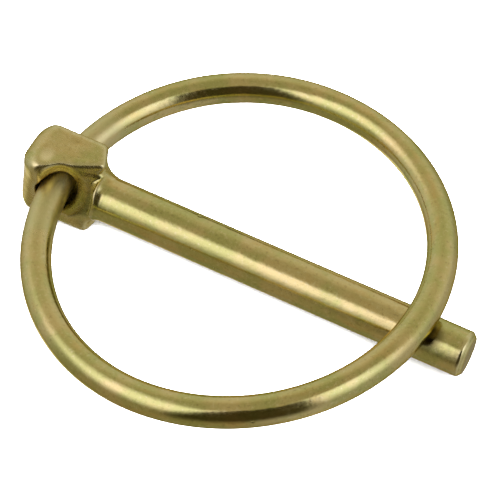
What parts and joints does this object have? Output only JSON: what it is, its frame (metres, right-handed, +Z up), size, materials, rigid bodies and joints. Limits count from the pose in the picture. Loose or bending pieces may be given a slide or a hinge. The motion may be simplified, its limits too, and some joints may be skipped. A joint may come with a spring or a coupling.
{
  "type": "lynch pin",
  "caption": "Lynch pin that slips through a cross-drilled shaft end and is locked there by a sprung wire ring, which swings over and snaps onto the tip",
  "frame": {"origin": "on the shank's axis, level with the head's inner face, where the shank leaves the head", "axes": "+X along the shank from the head to the tip, +Y along the head's cross hole, +Z up, towards the side of the shank that the closed ring lies on"},
  "size_m": [0.0494, 0.0436, 0.0098],
  "materials": {
    "pin": "satin yellow zinc plate",
    "ring": "satin yellow zinc plate over drawn spring wire"
  },
  "bodies": {
    "pin": {"pin": "pin"},
    "ring": {"ring": "ring"}
  },
  "joints": [
    {"name": "ring_swing", "type": "hinge", "parent": "pin", "child": "ring", "pos_m": [-0.0036, 0, 0], "axis": [0, -1, 0], "range_deg": [0, 348]}
  ]
}
